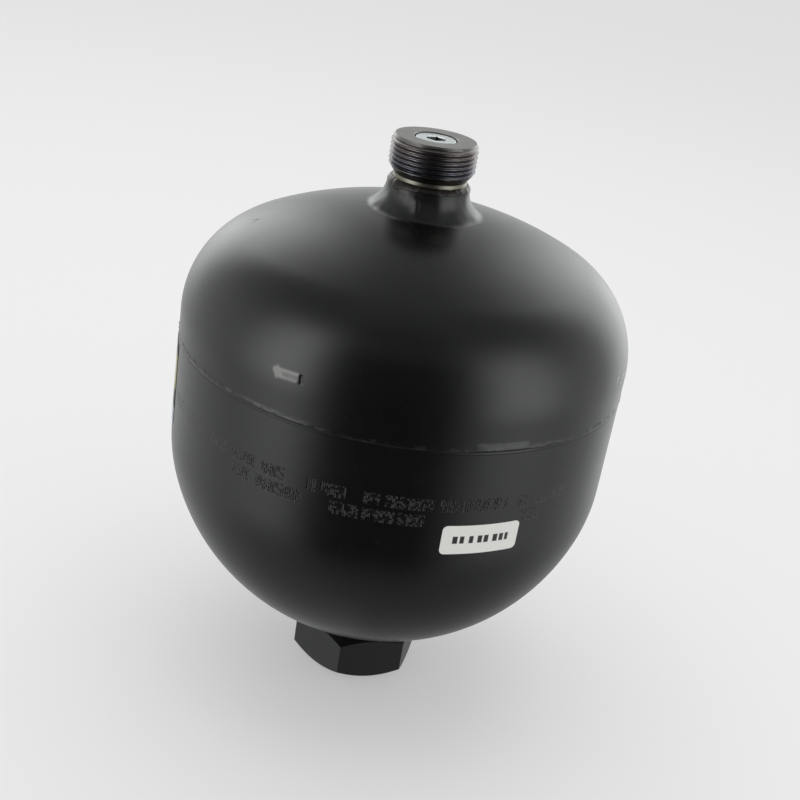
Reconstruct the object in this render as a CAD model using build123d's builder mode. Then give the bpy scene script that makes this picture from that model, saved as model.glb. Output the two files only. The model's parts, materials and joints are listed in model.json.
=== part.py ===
"""A small welded diaphragm accumulator: two forged steel shells joined at an equatorial weld,
a threaded gas port on top, a hexagonal fluid port below, and a rubber diaphragm clamped inside.

Millimetres. +Z runs up the vessel's axis. The origin is the centre of the fluid port's end face,
which is also the face that the accumulator stands on.
"""

import os
from math import atan2, cos, pi, radians, sin, sqrt, tan

from build123d import *

os.makedirs("parts", exist_ok=True)

# ---------------------------------------------------------------- driving dimensions
# Pressure vessel
body_diameter = 149.5
wall = 7.0
lower_knuckle_centre = 19.75  # from the axis to the centre of the arc that turns the wall inwards
lower_crown_rise = 14.7  # how much deeper the bottom dome is than its knuckle
lower_skirt_length = 34.5  # straight wall between the bottom dome and the weld
upper_skirt_length = 7.3  # straight wall between the weld and the top dome
upper_knuckle_centre = 42.15
upper_crown_rise = 9.9

# Equatorial weld, and the bore that both shells are turned to beside it
bead_width = 2.6
bead_root_width = 1.4
bead_height = 0.3
rim_bore_depth = 1.0
rim_bore_below = 18.0
rim_bore_above = 6.0

# Neck forged on the upper shell
neck_diameter = 26.8
neck_base_diameter = 36.4
neck_height = 6.8  # from the crown of the dome to the weld under the gas port
neck_collar = 3.0  # from that weld down to the corner where the cone begins
neck_waist_fillet = 5.0
neck_base_fillet = 4.0
gas_passage_diameter = 5.0

# Gas port, turned from bar and welded on the neck
gas_thread_diameter = 28.0  # M28 x 1.5
gas_port_length = 14.0
gas_thread_length = 9.1  # from the end face to the run-out
gas_lead_in = 1.04
gas_lead_angle = 31.5  # from the axis
undercut_diameter = 23.6
undercut_width = 0.8
runout_length = 3.0
gas_weld_height = 1.2
gas_weld_bulge = 0.3

# Charging screw: M8 with a low round head and a hexagon socket
screw_thread_diameter = 8.0
screw_thread_length = 6.5
screw_head_diameter = 13.0
screw_head_height = 5.0
screw_head_chamfer = 0.4
screw_tip_chamfer = 1.0
screw_head_recess = 0.25  # head top below the gas port's end face
screw_socket_flats = 6.0
screw_socket_depth = 3.0
screw_thread_clearance = 0.05
counterbore_clearance = 0.4
screw_seal_thickness = 1.2
screw_seal_clearance = 0.1

# Fluid port: hexagon bar with a G 3/4 socket, welded under the lower shell
port_hex_flats = 41.0
port_hex_length = 18.0
port_hex_turn = 18.9
port_lower_face_diameter = 35.6
port_lower_chamfer_angle = 35.0
port_upper_face_diameter = 38.0
port_upper_chamfer_angle = 30.0
port_stand_off = 3.0  # from the hexagon to the pole of the shell
port_shank_diameter = 37.0
port_spigot_diameter = 30.0
port_thread_bore = 24.12  # minor diameter of G 3/4
port_thread_depth = 16.0
port_mouth_diameter = 27.0
port_passage_diameter = 14.0
port_drill_angle = 59.0  # half angle of the drill's cone at the end of the thread
port_weld_leg = 3.0

# Diaphragm, its clamp ring and its closing button
diaphragm_thickness = 3.0
diaphragm_clearance = 0.4
rim_bead_height = 7.0
rim_bead_width = 5.0
rim_bead_round = 1.5
clamp_ring_thickness = 4.2
clamp_ring_edge = 1.0
button_diameter = 26.0
button_thickness = 3.0
button_edge = 0.8
button_seat_gap = 0.3
button_stem_diameter = 7.0
button_head_diameter = 15.0
button_head_thickness = 2.0
button_rubber_gap = 0.3
boss_margin = 5.0

# Labels
label_thickness = 0.15
label_glue = 0.05
pressure_label_width = 25.6
pressure_label_height = 9.8
pressure_label_corner = 1.6
pressure_label_below_weld = 29.8  # centre of the label below the weld's plane
pressure_label_angle = 25.7  # round the axis from the front, towards +X
side_label_width = 48.0
side_label_height = 29.0
side_label_corner = 1.0
side_label_below_weld = 17.7
side_label_angle = -91.5

# ---------------------------------------------------------------- derived sizes
body_radius = body_diameter / 2
inner_radius = body_radius - wall
rim_bore_radius = inner_radius + rim_bore_depth
lower_knuckle_radius = body_radius - lower_knuckle_centre
upper_knuckle_radius = body_radius - upper_knuckle_centre

lower_pole_z = port_hex_length + port_stand_off
lower_dome_z = lower_pole_z + lower_knuckle_radius + lower_crown_rise
seam_z = lower_dome_z + lower_skirt_length
upper_dome_z = seam_z + upper_skirt_length
upper_pole_z = upper_dome_z + upper_knuckle_radius + upper_crown_rise
neck_top_z = upper_pole_z + neck_height
gas_port_base_z = neck_top_z + gas_weld_height
overall_height = gas_port_base_z + gas_port_length


class Dome:
    """A domed end made of a crown arc tangent to a knuckle arc, which is tangent to a straight wall.

    The straight wall has the given radius and ends at base_z. The knuckle's centre is at that
    height. up is +1 for a top and -1 for a bottom.
    """

    def __init__(self, radius, knuckle_centre, rise, base_z, up):
        self.radius, self.knuckle_centre, self.rise = radius, knuckle_centre, rise
        self.base_z, self.up = base_z, up
        self.knuckle = radius - knuckle_centre
        self.drop = (knuckle_centre**2 - rise**2) / (2 * rise)
        self.crown = self.drop + self.knuckle + rise
        self.meet = atan2(knuckle_centre, self.drop)

    def offset(self, inward):
        """The same dome for a wall that lies further in, on the same centres."""
        return Dome(self.radius - inward, self.knuckle_centre, self.rise, self.base_z, self.up)

    def crown_z(self, radius):
        """Height of the crown arc at a distance from the axis."""
        return self.base_z + self.up * (sqrt(self.crown**2 - radius**2) - self.drop)

    def crown_point(self, radius):
        return (radius, self.crown_z(radius))

    def join(self):
        """Point where the crown arc and the knuckle arc meet."""
        return self.crown_point(self.crown * sin(self.meet))

    def crown_middle(self, radius):
        """A point of the crown arc halfway between a distance from the axis and the join."""
        return self.crown_point((radius + self.join()[0]) / 2)

    def knuckle_middle(self):
        turn = (pi / 2 + self.meet) / 2
        return (
            self.knuckle_centre + self.knuckle * sin(turn),
            self.base_z + self.up * self.knuckle * cos(turn),
        )

    def wall_point(self):
        return (self.radius, self.base_z)

    def draw_outwards(self, radius):
        """Draws the two arcs from a distance off the axis out to the straight wall."""
        ThreePointArc(self.crown_point(radius), self.crown_middle(radius), self.join())
        ThreePointArc(self.join(), self.knuckle_middle(), self.wall_point())


lower_outer = Dome(body_radius, lower_knuckle_centre, lower_crown_rise, lower_dome_z, -1)
lower_inner = lower_outer.offset(wall)
upper_outer = Dome(body_radius, upper_knuckle_centre, upper_crown_rise, upper_dome_z, +1)
upper_inner = upper_outer.offset(wall)

port_spigot_radius = port_spigot_diameter / 2
port_shank_radius = port_shank_diameter / 2
port_shoulder_z = lower_outer.crown_z(port_spigot_radius)
port_inner_z = lower_inner.crown_z(0)
gas_passage_radius = gas_passage_diameter / 2

# ---------------------------------------------------------------- lower shell
# A deep forged cup: straight skirt, turned round into a nearly hemispherical bottom with a hole
# for the fluid port. The skirt is bored a little wider at the top for the diaphragm's rim.
ledge_z = seam_z - rim_bore_below
weld_root_low_z = seam_z - bead_root_width / 2
weld_face_low_z = seam_z - bead_width / 2

with BuildPart() as lower_shell:
    with BuildSketch(Plane.XZ):
        with BuildLine():
            lower_outer.draw_outwards(port_spigot_radius)
            Polyline(
                lower_outer.wall_point(),
                (body_radius, weld_face_low_z),
                (rim_bore_radius, weld_root_low_z),
                (rim_bore_radius, ledge_z),
                (inner_radius, ledge_z),
                lower_inner.wall_point(),
            )
            lower_inner.draw_outwards(port_spigot_radius)
            Line(lower_inner.crown_point(port_spigot_radius), lower_outer.crown_point(port_spigot_radius))
        make_face()
    revolve(axis=Axis.Z)

# ---------------------------------------------------------------- upper shell
# A shallower forged cap with a conical neck that carries the gas port.
neck_radius = neck_diameter / 2
neck_base_radius = neck_base_diameter / 2
collar_z = neck_top_z - neck_collar
weld_root_high_z = seam_z + bead_root_width / 2
weld_face_high_z = seam_z + bead_width / 2
bore_top_z = seam_z + rim_bore_above

with BuildPart() as upper_shell:
    with BuildSketch(Plane.XZ):
        with BuildLine():
            upper_outer.draw_outwards(neck_base_radius)
            Polyline(
                upper_outer.wall_point(),
                (body_radius, weld_face_high_z),
                (rim_bore_radius, weld_root_high_z),
                (rim_bore_radius, bore_top_z),
                (inner_radius, bore_top_z),
                upper_inner.wall_point(),
            )
            upper_inner.draw_outwards(gas_passage_radius)
            Polyline(
                upper_inner.crown_point(gas_passage_radius),
                (gas_passage_radius, neck_top_z),
                (neck_radius, neck_top_z),
                (neck_radius, collar_z),
                upper_outer.crown_point(neck_base_radius),
            )
        make_face()
        fillet(vertices().sort_by_distance((neck_radius, collar_z))[0], neck_waist_fillet)
        fillet(
            vertices().sort_by_distance(upper_outer.crown_point(neck_base_radius))[0], neck_base_fillet
        )
    revolve(axis=Axis.Z)

# ---------------------------------------------------------------- equatorial weld
# One bead right round the vessel, through the whole wall, crowned a little above the skin.
bead_crown = (body_radius + bead_height, seam_z)

with BuildPart() as equator_weld:
    with BuildSketch(Plane.XZ):
        with BuildLine():
            Polyline(
                (body_radius, weld_face_low_z),
                (rim_bore_radius, weld_root_low_z),
                (rim_bore_radius, weld_root_high_z),
                (body_radius, weld_face_high_z),
            )
            ThreePointArc((body_radius, weld_face_high_z), bead_crown, (body_radius, weld_face_low_z))
        make_face()
    revolve(axis=Axis.Z)

# ---------------------------------------------------------------- gas port
# A short turned stub. Its thread is left as a plain cylinder at the thread's outer diameter.
gas_thread_radius = gas_thread_diameter / 2
undercut_radius = undercut_diameter / 2
lead_depth = gas_lead_in / tan(radians(gas_lead_angle))
thread_end_z = overall_height - gas_thread_length
undercut_top_z = thread_end_z - runout_length
undercut_low_z = undercut_top_z - undercut_width
screw_hole_radius = screw_thread_diameter / 2 + screw_thread_clearance
counterbore_radius = screw_head_diameter / 2 + counterbore_clearance
screw_head_top_z = overall_height - screw_head_recess
screw_head_low_z = screw_head_top_z - screw_head_height
counterbore_floor_z = screw_head_low_z - screw_seal_thickness

with BuildPart() as gas_port:
    with BuildSketch(Plane.XZ):
        with BuildLine():
            Polyline(
                (gas_passage_radius, gas_port_base_z),
                (neck_radius, gas_port_base_z),
                (undercut_radius, undercut_low_z),
                (undercut_radius, undercut_top_z),
                (gas_thread_radius, thread_end_z),
                (gas_thread_radius, overall_height - lead_depth),
                (gas_thread_radius - gas_lead_in, overall_height),
                (gas_passage_radius, overall_height),
                close=True,
            )
        make_face()
    revolve(axis=Axis.Z)
    with Locations((0, 0, overall_height)):
        CounterBoreHole(
            screw_hole_radius,
            counterbore_radius,
            overall_height - counterbore_floor_z,
            depth=gas_port_length,
        )

# The upset ring that welding the stub to the neck has pressed out.
with BuildPart() as gas_port_weld:
    with BuildSketch(Plane.XZ):
        with BuildLine():
            Polyline(
                (neck_radius, neck_top_z),
                (gas_passage_radius, neck_top_z),
                (gas_passage_radius, gas_port_base_z),
                (neck_radius, gas_port_base_z),
            )
            ThreePointArc(
                (neck_radius, gas_port_base_z),
                (neck_radius + gas_weld_bulge, (neck_top_z + gas_port_base_z) / 2),
                (neck_radius, neck_top_z),
            )
        make_face()
    revolve(axis=Axis.Z)

# ---------------------------------------------------------------- charging screw and its seal
screw_tip_z = counterbore_floor_z - screw_thread_length

with BuildPart() as charging_screw:
    with BuildSketch(Plane.XY.offset(screw_head_low_z)):
        Circle(screw_head_diameter / 2)
    extrude(amount=screw_head_height)
    chamfer(edges().group_by(Axis.Z)[-1], screw_head_chamfer)
    with BuildSketch(Plane.XY.offset(screw_head_low_z)):
        Circle(screw_thread_diameter / 2)
    extrude(amount=screw_tip_z - screw_head_low_z)
    chamfer(edges().group_by(Axis.Z)[0], screw_tip_chamfer)
    with BuildSketch(Plane.XY.offset(screw_head_top_z)):
        RegularPolygon(screw_socket_flats / 2, 6, major_radius=False, rotation=30)
    extrude(amount=-screw_socket_depth, mode=Mode.SUBTRACT)

with BuildPart() as charging_screw_seal:
    with BuildSketch(Plane.XY.offset(counterbore_floor_z)):
        Circle(screw_head_diameter / 2)
        Circle(screw_thread_diameter / 2 + screw_seal_clearance, mode=Mode.SUBTRACT)
    extrude(amount=screw_seal_thickness)

# ---------------------------------------------------------------- fluid port
# Hexagon bar, chamfered at both ends, with a round shank and a spigot that passes through the shell.
hex_corner_radius = port_hex_flats / 2 / cos(radians(30))
lower_face_radius = port_lower_face_diameter / 2
upper_face_radius = port_upper_face_diameter / 2
lower_chamfer_rise = (hex_corner_radius - lower_face_radius) * tan(radians(port_lower_chamfer_angle))
upper_chamfer_drop = (hex_corner_radius - upper_face_radius) * tan(radians(port_upper_chamfer_angle))
thread_bore_radius = port_thread_bore / 2
passage_radius = port_passage_diameter / 2
drill_cone_length = (thread_bore_radius - passage_radius) / tan(radians(port_drill_angle))
mouth_chamfer = (port_mouth_diameter - port_thread_bore) / 2

with BuildPart() as fluid_port:
    with BuildSketch():
        RegularPolygon(port_hex_flats / 2, 6, major_radius=False, rotation=port_hex_turn)
    extrude(amount=port_hex_length)
    with BuildSketch(Plane.XZ):
        with BuildLine():
            Polyline(
                (0, 0),
                (lower_face_radius, 0),
                (hex_corner_radius, lower_chamfer_rise),
                (hex_corner_radius, port_hex_length - upper_chamfer_drop),
                (upper_face_radius, port_hex_length),
                (0, port_hex_length),
                close=True,
            )
        make_face()
    revolve(axis=Axis.Z, mode=Mode.INTERSECT)
    with BuildSketch(Plane.XY.offset(port_hex_length)):
        Circle(port_shank_radius)
    extrude(amount=port_shoulder_z - port_hex_length)
    with BuildSketch(Plane.XY.offset(port_shoulder_z)):
        Circle(port_spigot_radius)
    extrude(amount=port_inner_z - port_shoulder_z)
    with BuildSketch(Plane.XZ):
        with BuildLine():
            Polyline(
                (0, 0),
                (thread_bore_radius + mouth_chamfer, 0),
                (thread_bore_radius, mouth_chamfer),
                (thread_bore_radius, port_thread_depth),
                (passage_radius, port_thread_depth + drill_cone_length),
                (passage_radius, port_inner_z),
                (0, port_inner_z),
                close=True,
            )
        make_face()
    revolve(axis=Axis.Z, mode=Mode.SUBTRACT)

# Fillet weld in the corner between the port's shank and the shell.
weld_foot_radius = port_shank_radius + port_weld_leg
weld_foot = lower_outer.crown_point(weld_foot_radius)
weld_heel = (port_shank_radius, port_shoulder_z - port_weld_leg / 2)

with BuildPart() as fluid_port_weld:
    with BuildSketch(Plane.XZ):
        with BuildLine():
            Polyline(
                lower_outer.crown_point(port_spigot_radius),
                (port_shank_radius, port_shoulder_z),
                weld_heel,
                weld_foot,
            )
            ThreePointArc(
                weld_foot,
                lower_outer.crown_point((port_spigot_radius + weld_foot_radius) / 2),
                lower_outer.crown_point(port_spigot_radius),
            )
        make_face()
    revolve(axis=Axis.Z)

# ---------------------------------------------------------------- closing button
# A steel stud through the middle of the diaphragm. Its plate shuts the passage to the fluid port.
button_low_z = port_inner_z + button_seat_gap
button_plate_z = button_low_z + button_thickness
boss_low_z = button_plate_z + button_rubber_gap
boss_top_z = boss_low_z + diaphragm_thickness
button_head_z = boss_top_z + button_rubber_gap
button_stem_radius = button_stem_diameter / 2

with BuildPart() as closing_button:
    with BuildSketch(Plane.XY.offset(button_low_z)):
        Circle(button_diameter / 2)
    extrude(amount=button_thickness)
    chamfer(edges().group_by(Axis.Z)[0], button_edge)
    with BuildSketch(Plane.XY.offset(button_plate_z)):
        Circle(button_stem_radius)
    extrude(amount=button_head_z - button_plate_z)
    with BuildSketch(Plane.XY.offset(button_head_z)):
        Circle(button_head_diameter / 2)
    extrude(amount=button_head_thickness)
    fillet(edges().group_by(Axis.Z)[-1], button_edge)

# ---------------------------------------------------------------- diaphragm
# A moulded rubber cup that lines the lower shell, with a thick rim that the clamp ring traps
# and a boss in the middle for the closing button.
skin_outer = lower_inner.offset(diaphragm_clearance)
skin_inner = skin_outer.offset(diaphragm_thickness)
rim_outer_radius = rim_bore_radius - diaphragm_clearance / 2
rim_inner_radius = rim_outer_radius - rim_bead_width
rim_top_z = ledge_z + rim_bead_height
recess_radius = button_diameter / 2 + button_rubber_gap
boss_radius = recess_radius + boss_margin

with BuildPart() as diaphragm:
    with BuildSketch(Plane.XZ):
        with BuildLine():
            skin_outer.draw_outwards(0)
            Polyline(
                skin_outer.wall_point(),
                (skin_outer.radius, ledge_z),
                (rim_outer_radius, ledge_z),
                (rim_outer_radius, rim_top_z),
                (rim_inner_radius, rim_top_z),
                (rim_inner_radius, ledge_z),
                (skin_inner.radius, ledge_z - rim_bead_round),
                skin_inner.wall_point(),
            )
            skin_inner.draw_outwards(0)
            Line(skin_inner.crown_point(0), skin_outer.crown_point(0))
        make_face()
    revolve(axis=Axis.Z)
    with BuildSketch(Plane.XZ):
        with BuildLine():
            ThreePointArc(
                skin_outer.crown_point(0),
                skin_outer.crown_point(boss_radius / 2),
                skin_outer.crown_point(boss_radius),
            )
            Polyline(
                skin_outer.crown_point(boss_radius),
                (boss_radius, boss_top_z),
                (0, boss_top_z),
                skin_outer.crown_point(0),
            )
        make_face()
    revolve(axis=Axis.Z)
    with BuildSketch(Plane.XY.offset(boss_low_z)):
        Circle(recess_radius)
    extrude(amount=port_inner_z - boss_low_z, mode=Mode.SUBTRACT)
    with BuildSketch(Plane.XY.offset(boss_low_z)):
        Circle(button_stem_radius + button_rubber_gap)
    extrude(amount=boss_top_z - boss_low_z, mode=Mode.SUBTRACT)

# ---------------------------------------------------------------- clamp ring
# A steel band under the weld. It holds the diaphragm's rim down on the lower shell's ledge.
with BuildPart() as clamp_ring:
    with BuildSketch(Plane.XY.offset(rim_top_z)):
        Circle(rim_bore_radius)
        Circle(rim_bore_radius - clamp_ring_thickness, mode=Mode.SUBTRACT)
    extrude(amount=bore_top_z - rim_top_z)
    chamfer(edges().filter_by(GeomType.CIRCLE).sort_by(SortBy.RADIUS)[:2], clamp_ring_edge)


# ---------------------------------------------------------------- labels
def label_on_lower_shell(width, height, corner, below_weld, angle):
    """A round-cornered sticker that follows the lower shell's skin."""
    turn = radians(angle)
    face = Plane(
        origin=(0, 0, seam_z - below_weld),
        x_dir=(cos(turn), sin(turn), 0),
        z_dir=(sin(turn), -cos(turn), 0),
    )
    inside = lower_outer.offset(-label_glue)
    outside = inside.offset(-label_thickness)
    with BuildPart() as label:
        with BuildSketch(face):
            RectangleRounded(width, height, corner)
        extrude(amount=body_diameter)
        with BuildSketch(Plane.XZ):
            with BuildLine():
                inside.draw_outwards(port_spigot_radius)
                Polyline(
                    inside.wall_point(),
                    (inside.radius, weld_face_low_z),
                    (outside.radius, weld_face_low_z),
                    outside.wall_point(),
                )
                outside.draw_outwards(port_spigot_radius)
                Line(
                    outside.crown_point(port_spigot_radius),
                    inside.crown_point(port_spigot_radius),
                )
            make_face()
        revolve(axis=Axis.Z, mode=Mode.INTERSECT)
    return label


pressure_label = label_on_lower_shell(
    pressure_label_width,
    pressure_label_height,
    pressure_label_corner,
    pressure_label_below_weld,
    pressure_label_angle,
)
side_label = label_on_lower_shell(
    side_label_width,
    side_label_height,
    side_label_corner,
    side_label_below_weld,
    side_label_angle,
)

# ---------------------------------------------------------------- one STEP file for each piece
lower_shell.part.label = "lower_shell"
upper_shell.part.label = "upper_shell"
equator_weld.part.label = "equator_weld"
gas_port.part.label = "gas_port"
gas_port_weld.part.label = "gas_port_weld"
charging_screw.part.label = "charging_screw"
charging_screw_seal.part.label = "charging_screw_seal"
fluid_port.part.label = "fluid_port"
fluid_port_weld.part.label = "fluid_port_weld"
closing_button.part.label = "closing_button"
diaphragm.part.label = "diaphragm"
clamp_ring.part.label = "clamp_ring"
pressure_label.part.label = "pressure_label"
side_label.part.label = "side_label"

export_step(lower_shell.part, "parts/lower_shell.step")
export_step(upper_shell.part, "parts/upper_shell.step")
export_step(equator_weld.part, "parts/equator_weld.step")
export_step(gas_port.part, "parts/gas_port.step")
export_step(gas_port_weld.part, "parts/gas_port_weld.step")
export_step(charging_screw.part, "parts/charging_screw.step")
export_step(charging_screw_seal.part, "parts/charging_screw_seal.step")
export_step(fluid_port.part, "parts/fluid_port.step")
export_step(fluid_port_weld.part, "parts/fluid_port_weld.step")
export_step(closing_button.part, "parts/closing_button.step")
export_step(diaphragm.part, "parts/diaphragm.step")
export_step(clamp_ring.part, "parts/clamp_ring.step")
export_step(pressure_label.part, "parts/pressure_label.step")
export_step(side_label.part, "parts/side_label.step")

print(f"overall height {overall_height:.1f} mm, weld plane at {seam_z:.1f} mm")
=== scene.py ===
# %% [markdown]
# # A welded diaphragm accumulator
# A round steel pressure vessel stands on its hexagonal fluid port. Two forged shells are joined by a
# weld round the middle, and a short threaded stub on top takes the gas charge. This lesson dresses the
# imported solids: turned shells with a paint finish, a cut thread, tempered metal, rubber and two labels.

# %% Load the frame
import json
from math import acos, atan2, cos, degrees, exp, hypot, pi, radians, sin, sqrt, tan

import bpy
from mathutils import Matrix, Vector, noise
from mathutils.geometry import intersect_point_line


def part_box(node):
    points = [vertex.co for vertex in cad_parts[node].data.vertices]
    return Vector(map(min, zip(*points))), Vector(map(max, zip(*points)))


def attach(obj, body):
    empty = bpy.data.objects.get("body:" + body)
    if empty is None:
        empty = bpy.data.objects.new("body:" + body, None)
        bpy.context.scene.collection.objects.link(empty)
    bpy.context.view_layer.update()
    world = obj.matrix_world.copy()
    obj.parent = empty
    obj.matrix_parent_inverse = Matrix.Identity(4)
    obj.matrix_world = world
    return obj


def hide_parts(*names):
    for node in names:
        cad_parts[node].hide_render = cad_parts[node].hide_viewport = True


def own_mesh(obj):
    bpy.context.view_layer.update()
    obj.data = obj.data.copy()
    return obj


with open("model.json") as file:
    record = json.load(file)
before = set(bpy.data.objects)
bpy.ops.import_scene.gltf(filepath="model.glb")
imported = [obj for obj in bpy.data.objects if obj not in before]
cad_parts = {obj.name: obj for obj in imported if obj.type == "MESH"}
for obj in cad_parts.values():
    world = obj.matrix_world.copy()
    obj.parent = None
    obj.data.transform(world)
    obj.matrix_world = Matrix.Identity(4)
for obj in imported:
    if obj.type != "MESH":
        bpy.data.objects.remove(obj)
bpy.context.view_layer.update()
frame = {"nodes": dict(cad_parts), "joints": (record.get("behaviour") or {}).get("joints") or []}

# %% [markdown]
# ## Sizes
# Everything is in metres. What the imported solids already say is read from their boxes, so the dressed
# pieces land exactly on them. The rest are the sizes that a box can't tell, such as the radii of the
# domed ends, and they are written once here, in millimetres times MM.

# %% Sizes read from the frame
MM = 0.001


def top(node):
    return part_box(node)[1].z


def bottom(node):
    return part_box(node)[0].z


def radius_of(node):
    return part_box(node)[1].x


body_radius = radius_of("lower_shell")
seam_z = (top("equator_weld") + bottom("equator_weld")) / 2
bead_half = (top("equator_weld") - bottom("equator_weld")) / 2
bead_height = radius_of("equator_weld") - body_radius
port_top = top("gas_port")
stub_base = bottom("gas_port")
neck_top = bottom("gas_port_weld")
thread_radius = radius_of("gas_port")
spigot_top = top("fluid_port")
print(f"vessel radius {body_radius / MM:.2f} mm, seam at {seam_z / MM:.1f}, top at {port_top / MM:.1f} mm")

# %% Sizes that a box can't tell
wall = 7 * MM
lower_knuckle_centre = 19.75 * MM
lower_rise = 14.7 * MM
lower_skirt = 34.5 * MM
upper_knuckle_centre = 42.15 * MM
upper_rise = 9.9 * MM
upper_skirt = 7.3 * MM
rim_bore_depth = 1 * MM
rim_bore_below = 18 * MM
rim_bore_above = 6 * MM
bead_root_half = 0.7 * MM
spigot_radius = 15 * MM
passage_radius = 2.5 * MM
neck_radius = 13.4 * MM
neck_base_radius = 18.2 * MM
neck_collar = 3 * MM
waist_fillet = 8 * MM
foot_fillet = 4 * MM
lower_base = seam_z - lower_skirt
upper_base = seam_z + upper_skirt

# %% [markdown]
# ## Turned pieces
# Nearly every piece here was forged or turned, so it is the same all the way round its axis. Such a
# form could come from a stack of circles or a Screw modifier. Here it is drawn as for a lathe: one
# corner is extruded from point to point along half of the section, and the outline is spun once
# round the axis. Arcs are worked out, so a dome has as many points as its curve needs.

# %% The lathe


def alone(piece):
    """Selects one object and makes it the active one."""
    bpy.ops.object.select_all(action="DESELECT")
    piece.select_set(True)
    bpy.context.view_layer.objects.active = piece


def smooth(piece, angle=30):
    alone(piece)
    bpy.ops.object.shade_smooth_by_angle(angle=radians(angle))


same_place = 0.004 * MM


def turned(name, outline, steps):
    """A closed outline of (radius, height) points, spun round the Z axis."""
    bpy.ops.object.select_all(action="DESELECT")
    bpy.ops.mesh.primitive_plane_add(size=MM)
    piece = bpy.context.object
    piece.name = piece.data.name = name
    bpy.ops.object.mode_set(mode="EDIT")
    bpy.ops.mesh.select_mode(type="VERT")
    bpy.ops.mesh.select_all(action="SELECT")
    bpy.ops.mesh.merge(type="CENTER")
    bpy.ops.transform.translate(value=(outline[0][0], 0, outline[0][1]))
    for here, there in zip(outline, outline[1:] + outline[:1]):
        step = (there[0] - here[0], 0, there[1] - here[1])
        bpy.ops.mesh.extrude_vertices_move(TRANSFORM_OT_translate={"value": step})
    bpy.ops.mesh.select_all(action="SELECT")
    bpy.ops.mesh.remove_doubles(threshold=same_place)
    bpy.ops.mesh.spin(steps=steps, angle=2 * pi, center=(0, 0, 0), axis=(0, 0, 1))
    bpy.ops.mesh.select_all(action="SELECT")
    bpy.ops.mesh.remove_doubles(threshold=same_place)
    bpy.ops.mesh.normals_make_consistent(inside=False)
    bpy.ops.object.mode_set(mode="OBJECT")
    smooth(piece)
    print(f"{name}: {len(piece.data.vertices)} corners, {len(piece.data.polygons)} faces")
    return piece


def arc(centre, radius, start, end, step=3):
    """Points from one angle to another, in degrees, where 0 points outwards and 90 points up."""
    count = max(2, round(abs(end - start) / step))
    angles = [radians(start + (end - start) * i / count) for i in range(count + 1)]
    return [(centre[0] + radius * cos(a), centre[1] + radius * sin(a)) for a in angles]


def line(start, end, count):
    """Evenly spaced points from start up to, and without, end."""
    return [tuple(a + (b - a) * i / count for a, b in zip(start, end)) for i in range(count)]


# %% [markdown]
# ## The domed ends
# A forged end is two arcs: a tight one, the knuckle, turns the straight wall inwards, and a wide one,
# the crown, closes the dome. Where they meet they share a tangent. The same two centres serve the
# outside and, with both radii less by the wall, the inside.

# %% Two arcs make a dome


class Dome:
    """A domed end. up is 1 for a top and -1 for a bottom."""

    def __init__(self, radius, knuckle_centre, rise, base, up):
        self.radius, self.centre, self.rise, self.base, self.up = radius, knuckle_centre, rise, base, up
        self.knuckle = radius - knuckle_centre
        self.drop = (knuckle_centre**2 - rise**2) / (2 * rise)
        self.crown = self.drop + self.knuckle + rise
        self.meet = 90 - degrees(atan2(knuckle_centre, self.drop))

    def inside(self, depth):
        return Dome(self.radius - depth, self.centre, self.rise, self.base, self.up)

    def points(self, stop, step=3):
        """From the straight wall inwards, to a distance from the axis."""
        knuckle = arc((self.centre, self.base), self.knuckle, 0, self.up * self.meet, step)
        last = degrees(acos(stop / self.crown))
        centre = (0, self.base - self.up * self.drop)
        crown = arc(centre, self.crown, self.up * self.meet, self.up * last, step * self.knuckle / self.crown)
        return knuckle + crown[1:]

    def height(self, radius):
        """Height of the crown at a distance from the axis."""
        return self.base + self.up * (sqrt(self.crown**2 - radius**2) - self.drop)

    def radius_at(self, z):
        """Distance of the skin from the axis at a height, on the wall or the dome."""
        along = self.up * (z - self.base)
        if along <= 0:
            return self.radius
        if along <= self.knuckle * sin(radians(self.meet)):
            return self.centre + sqrt(self.knuckle**2 - along**2)
        return sqrt(self.crown**2 - (along + self.drop) ** 2)


lower = Dome(body_radius, lower_knuckle_centre, lower_rise, lower_base, -1)
upper = Dome(body_radius, upper_knuckle_centre, upper_rise, upper_base, 1)
print(f"the domes end at {lower.height(0) / MM:.1f} mm and {upper.height(0) / MM:.1f} mm")

# %% [markdown]
# ## The lower shell
# A deep cup, forged hot and turned at its rim: the bore at the top is a little wider, with a ledge for
# the rubber's rim. It is one closed section, wall and all, so the piece has a true inside.

# %% Spin the lower shell
ledge_z = seam_z - rim_bore_below
rim_bore_radius = body_radius - wall + rim_bore_depth
inner_lower = lower.inside(wall)

outside = lower.points(spigot_radius)
inside = inner_lower.points(spigot_radius)[::-1]
lower_shell = turned(
    "lower_shell_forging",
    line((body_radius, seam_z - bead_half), (body_radius, lower_base), 16)
    + outside
    + inside
    + [(body_radius - wall, ledge_z), (rim_bore_radius, ledge_z)]
    + [(rim_bore_radius, seam_z - bead_root_half)],
    steps=288,
)

# %% [markdown]
# ## The upper shell and its neck
# The cap is shallower. Its neck is forged with it: it flares from the crown in a hollow curve and
# ends in a short straight collar under the stub's weld. Two filleted corners draw that curve, and it
# is spun in one go with the cap, so that the skin runs on without a joint.

# %% Spin the upper shell
inner_upper = upper.inside(wall)
foot = (neck_base_radius, upper.height(neck_base_radius))
waist = (neck_radius, neck_top - neck_collar)


def rounded(before, corner, after, radius, count=10):
    """The points of an arc that rounds a corner between two straight runs."""
    c = Vector(corner)
    a = (Vector(before) - c).normalized()
    b = (Vector(after) - c).normalized()
    half = a.angle(b) / 2
    centre = c + (a + b).normalized() * radius / sin(half)
    first = c + a * radius / tan(half) - centre
    last = c + b * radius / tan(half) - centre
    turn = first.angle_signed(last)
    return [tuple(centre + Matrix.Rotation(-turn * i / count, 2) @ first) for i in range(count + 1)]


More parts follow.
